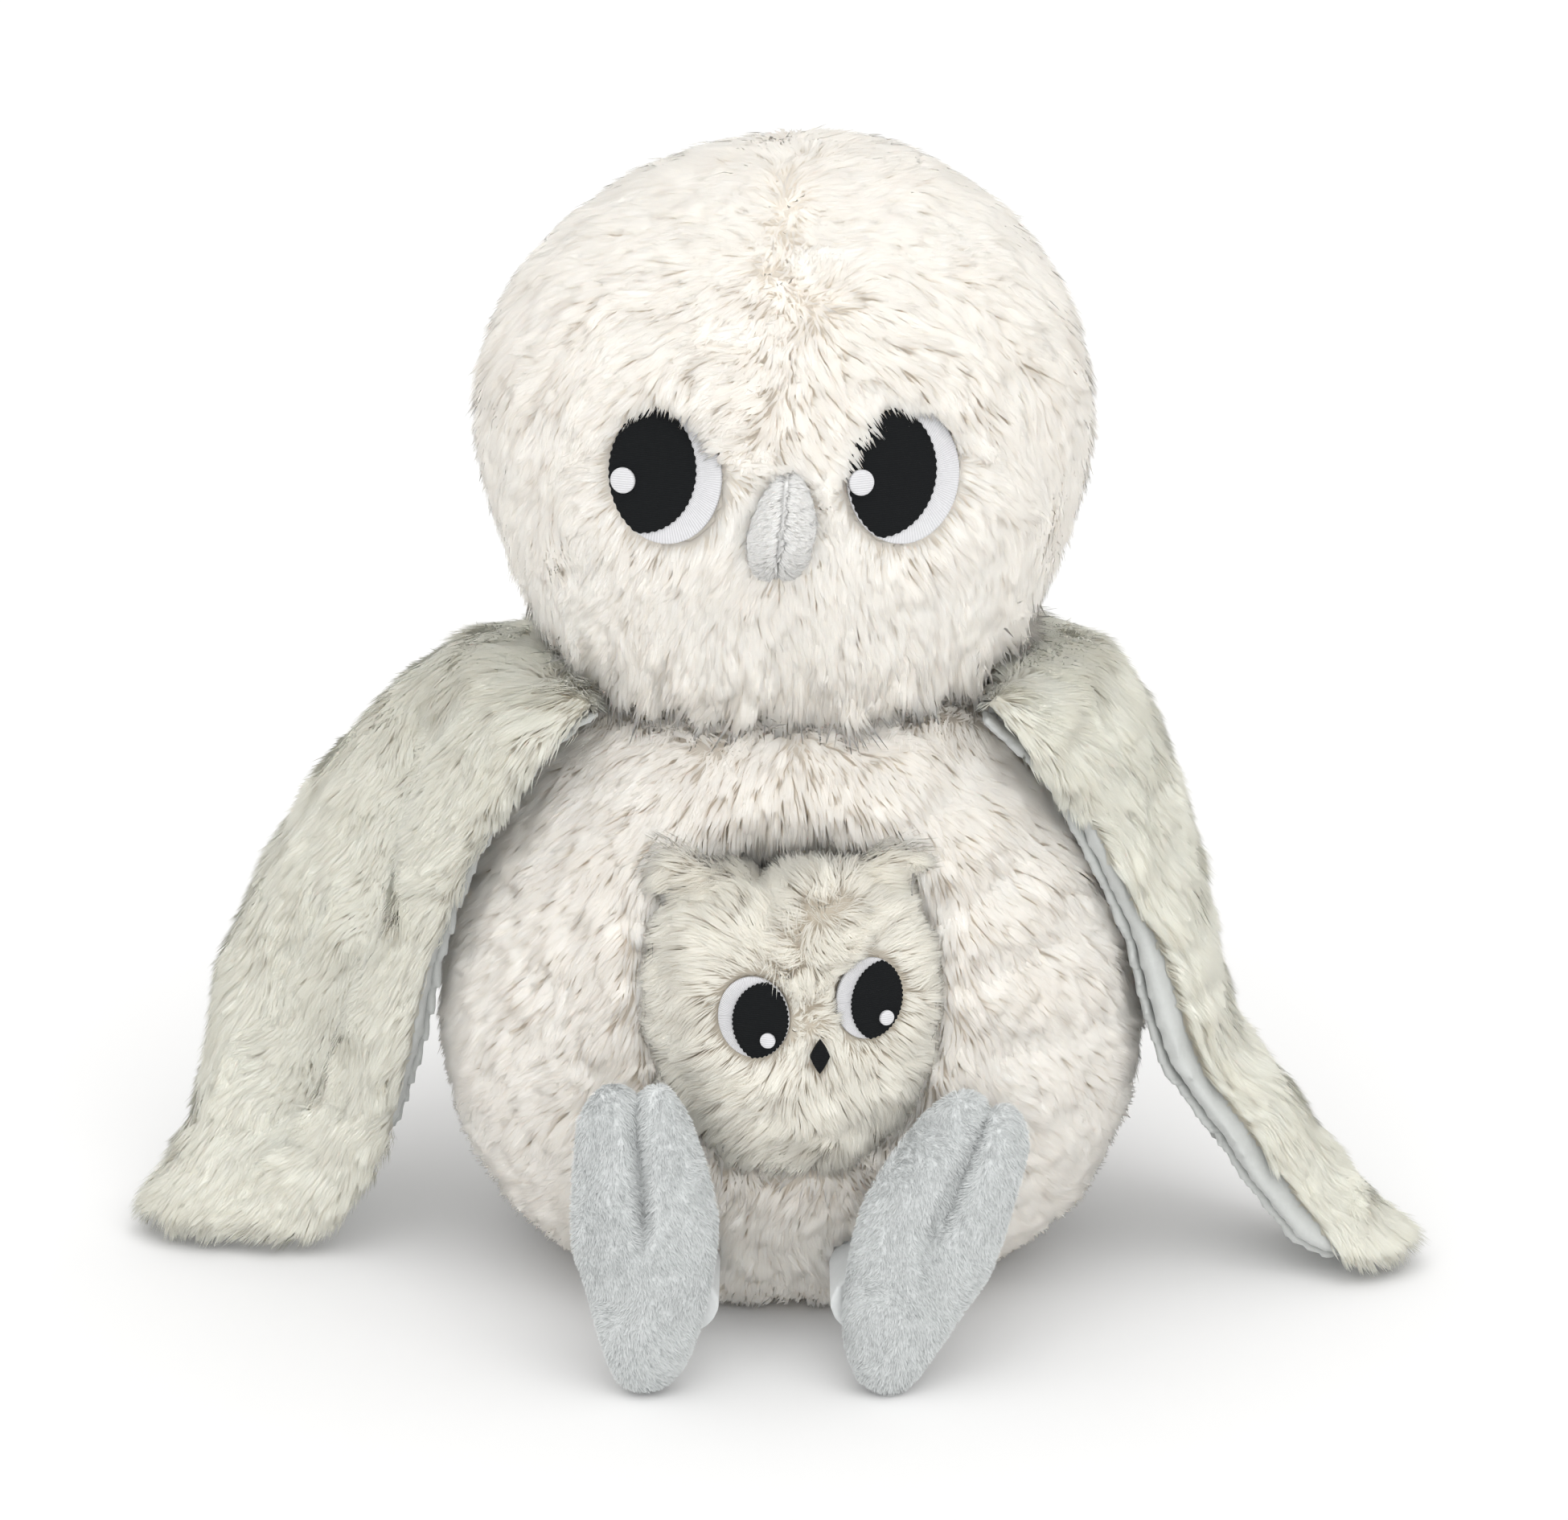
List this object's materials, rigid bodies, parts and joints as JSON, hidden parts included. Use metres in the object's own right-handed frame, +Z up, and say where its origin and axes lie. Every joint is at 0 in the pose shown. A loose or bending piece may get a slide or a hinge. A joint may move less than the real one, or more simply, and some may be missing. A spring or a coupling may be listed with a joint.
{
  "type": "plush owl",
  "caption": "Seated plush mother owl with long wings, stuffed feet and a belly pouch that holds a removable baby owl; the head turns, the wings lift and the feet fold.",
  "frame": {"origin": "centre of the flat base panel, on the surface that the toy sits on", "axes": "+Z up, -Y the way the face looks, +X towards the viewer's right when the face is seen from the front"},
  "size_m": [0.2635, 0.1371, 0.2354],
  "materials": {
    "white_plush": "long soft pile",
    "sage_plush": "long soft pile",
    "grey_velboa": "short smooth pile",
    "baby_plush": "long shaggy pile",
    "beak_plush": "short silky pile",
    "pouch_cloth": "smooth lining",
    "stuffing": "loose fibre",
    "bag_cloth": "plain woven",
    "black_thread": "satin stitch",
    "white_thread": "satin stitch"
  },
  "bodies": {
    "body": {"body_front_left": "white_plush", "body_front_right": "white_plush", "body_back": "white_plush", "body_base": "white_plush", "body_stuffing": "stuffing", "bean_bag": "bag_cloth", "pouch_lining": "pouch_cloth", "leg_left": "grey_velboa", "leg_right": "grey_velboa"},
    "head": {"head_left": "white_plush", "head_right": "white_plush", "head_stuffing": "stuffing", "beak": "beak_plush", "eye_white_left": "white_thread", "eye_white_right": "white_thread", "eye_pupil_left": "black_thread", "eye_pupil_right": "black_thread", "eye_glint_left": "white_thread", "eye_glint_right": "white_thread"},
    "baby": {"baby_front": "baby_plush", "baby_back": "baby_plush", "baby_stuffing": "stuffing", "baby_ear_left": "baby_plush", "baby_ear_right": "baby_plush", "baby_eye_white_left": "white_thread", "baby_eye_white_right": "white_thread", "baby_eye_pupil_left": "black_thread", "baby_eye_pupil_right": "black_thread", "baby_eye_glint_left": "white_thread", "baby_eye_glint_right": "white_thread", "baby_beak": "black_thread"},
    "wing_left": {"wing_left_outer": "sage_plush", "wing_left_wadding": "stuffing", "wing_left_lining": "grey_velboa"},
    "wing_right": {"wing_right_outer": "sage_plush", "wing_right_wadding": "stuffing", "wing_right_lining": "grey_velboa"},
    "foot_left": {"foot_left_sole": "grey_velboa", "foot_left_upper": "grey_velboa", "foot_left_stuffing": "stuffing"},
    "foot_right": {"foot_right_sole": "grey_velboa", "foot_right_upper": "grey_velboa", "foot_right_stuffing": "stuffing"}
  },
  "joints": [
    {"name": "head_turn", "type": "hinge", "parent": "body", "child": "head", "pos_m": [-0.0016, 0, 0.1278], "axis": [0, 0, 1], "range_deg": [-20, 20], "stiffness_Nm_per_rad": 0.05},
    {"name": "wing_left_lift", "type": "hinge", "parent": "body", "child": "wing_left", "pos_m": [-0.0435, -0.002, 0.1309], "axis": [0, 1, 0], "range_deg": [0, 50]},
    {"name": "wing_right_lift", "type": "hinge", "parent": "body", "child": "wing_right", "pos_m": [0.0427, -0.0016, 0.1309], "axis": [0, -1, 0], "range_deg": [0, 50]},
    {"name": "foot_left_fold", "type": "hinge", "parent": "body", "child": "foot_left", "pos_m": [-0.0205, -0.0755, 0.0097], "axis": [1, 0, 0], "range_deg": [0, 40], "stiffness_Nm_per_rad": 0.05},
    {"name": "foot_right_fold", "type": "hinge", "parent": "body", "child": "foot_right", "pos_m": [0.0135, -0.0755, 0.0097], "axis": [1, 0, 0], "range_deg": [0, 40], "stiffness_Nm_per_rad": 0.05},
    {"name": "baby_slide", "type": "slide", "parent": "body", "child": "baby", "axis": [0, -0.7071, 0.7071], "range_m": [0, 0.06]}
  ]
}
